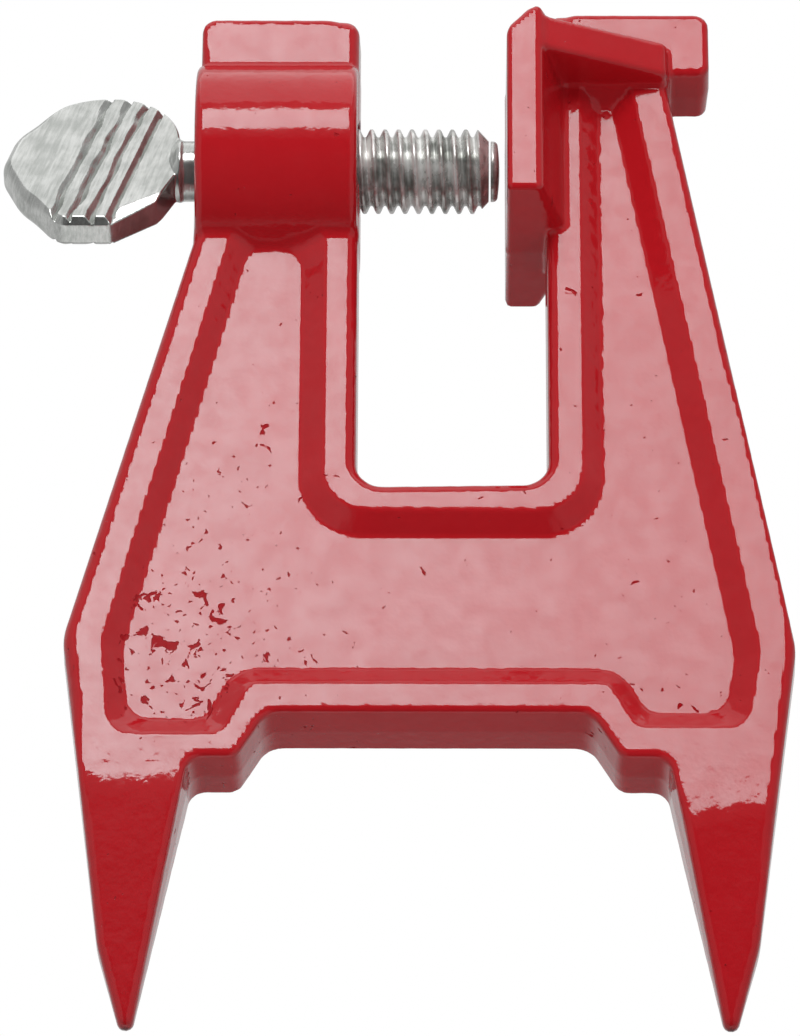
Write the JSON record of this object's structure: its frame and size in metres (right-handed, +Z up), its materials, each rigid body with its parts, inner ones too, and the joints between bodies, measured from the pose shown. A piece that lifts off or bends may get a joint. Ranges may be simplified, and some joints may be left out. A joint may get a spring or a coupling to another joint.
{
  "type": "stump vise",
  "caption": "Cast stump vise that holds a chainsaw guide bar for filing: two spikes drive into a stump and a thumb screw clamps the bar against a jaw.",
  "frame": {"origin": "mid thickness of the frame, midway between the two shoulders that rest on the stump, on the plane of their undersides", "axes": "+Z up, away from the stump; +X along the thumb screw's axis towards the jaw; -Y is the front face, square to the plate"},
  "size_m": [0.113, 0.0348, 0.1587],
  "materials": {
    "red_paint": "gloss red paint over rough cast iron",
    "bright_zinc": "bright zinc plate over forged steel, faces ground with fine lines"
  },
  "bodies": {
    "frame": {"vise_frame": "red_paint"},
    "screw_travel": {"screw_point": "bright_zinc"},
    "screw": {"thumb_screw": "bright_zinc"}
  },
  "joints": [
    {"name": "travel", "type": "slide", "parent": "frame", "child": "screw_travel", "axis": [1, 0, 0], "range_m": [-0.02, 0.0006]},
    {"name": "turn", "type": "hinge", "parent": "screw_travel", "child": "screw", "pos_m": [0, 0, 0.0974], "axis": [1, 0, 0], "range_deg": [-3685.3, 110.7]}
  ],
  "couplings": [
    {"joint": "turn", "follows": "travel", "rad_per_m": 3215.8}
  ]
}
